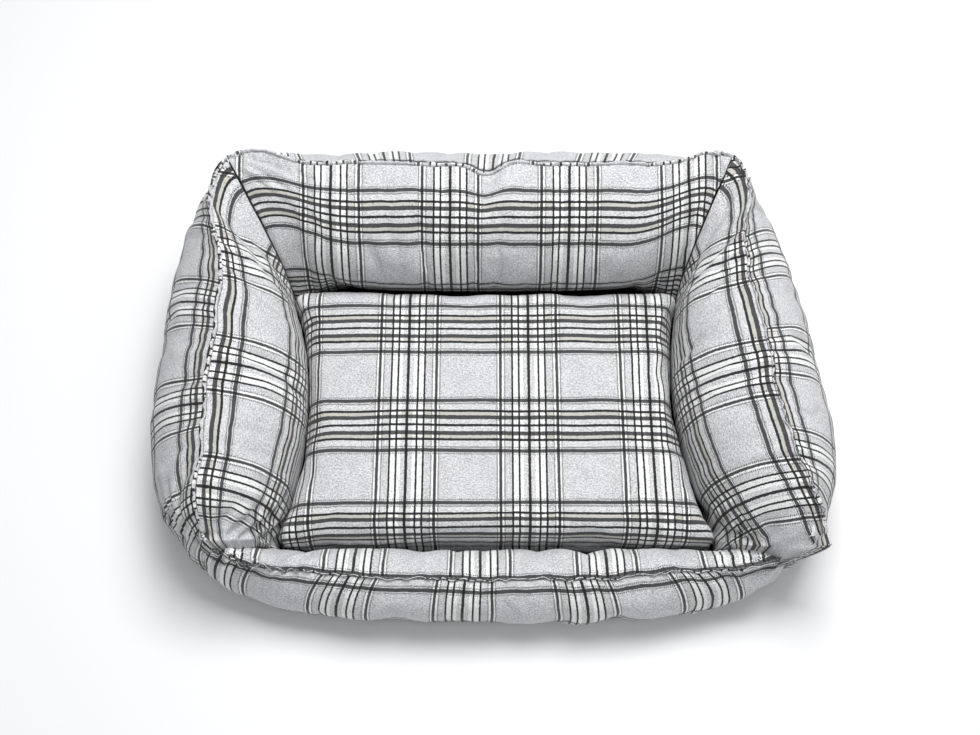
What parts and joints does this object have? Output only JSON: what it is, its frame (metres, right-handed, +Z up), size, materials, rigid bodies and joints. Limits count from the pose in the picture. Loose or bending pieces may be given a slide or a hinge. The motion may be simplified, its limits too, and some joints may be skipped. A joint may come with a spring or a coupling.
{
  "type": "pet cushion bed",
  "caption": "Rectangular plaid cloth pet bed: stuffed back and side walls, a low front wall, and a loose crowned cushion with a zipped cover.",
  "frame": {"origin": "middle of the footprint, on the surface that the bed stands on", "axes": "+Z up, +Y to the tall back wall, +X to the right seen from the low front wall"},
  "size_m": [0.7406, 0.5404, 0.2034],
  "materials": {
    "plaid_cloth": "brushed wool-look weave in a grey, white and black check",
    "ridge_lip_cloth": "the same check cloth, turned and stitched along the ridge",
    "polyester_fibre": "white loose hollow fibre",
    "base_cloth": "matt black non-slip backing cloth with small raised dots",
    "lining_cloth": "plain grey woven lining",
    "zip_tape": "fine herringbone tape",
    "zip_coil": "moulded nylon coil",
    "zip_metal": "plated die-cast metal"
  },
  "bodies": {
    "bed": {"base_panel": "base_cloth", "floor_lining": "lining_cloth", "back_outer_panel": "plaid_cloth", "back_inner_panel": "plaid_cloth", "back_fibre_fill": "polyester_fibre", "back_ridge_lip": "ridge_lip_cloth", "left_outer_panel": "plaid_cloth", "left_inner_panel": "plaid_cloth", "left_fibre_fill": "polyester_fibre", "left_ridge_lip": "ridge_lip_cloth", "right_outer_panel": "plaid_cloth", "right_inner_panel": "plaid_cloth", "right_fibre_fill": "polyester_fibre", "right_ridge_lip": "ridge_lip_cloth", "front_outer_panel": "plaid_cloth", "front_inner_panel": "plaid_cloth", "front_fibre_fill": "polyester_fibre", "front_ridge_lip": "ridge_lip_cloth"},
    "cushion": {"cushion_top_panel": "plaid_cloth", "cushion_bottom_panel": "plaid_cloth", "cushion_fibre_fill": "polyester_fibre", "zip_upper_tape": "zip_tape", "zip_lower_tape": "zip_tape", "zip_coil": "zip_coil"},
    "slider": {"zip_slider": "zip_metal"},
    "pull": {"zip_pull": "zip_metal"}
  },
  "joints": [
    {"name": "cushion_lift", "type": "slide", "parent": "bed", "child": "cushion", "axis": [0, 0, 1], "range_m": [0, 0.26]},
    {"name": "zip_slide", "type": "slide", "parent": "cushion", "child": "slider", "axis": [1, 0, 0], "range_m": [0, 0.28]},
    {"name": "zip_pull_turn", "type": "hinge", "parent": "slider", "child": "pull", "pos_m": [-0.13894, 0.10399, 0.0424], "axis": [0, 0, -1], "range_deg": [0, 180]}
  ]
}
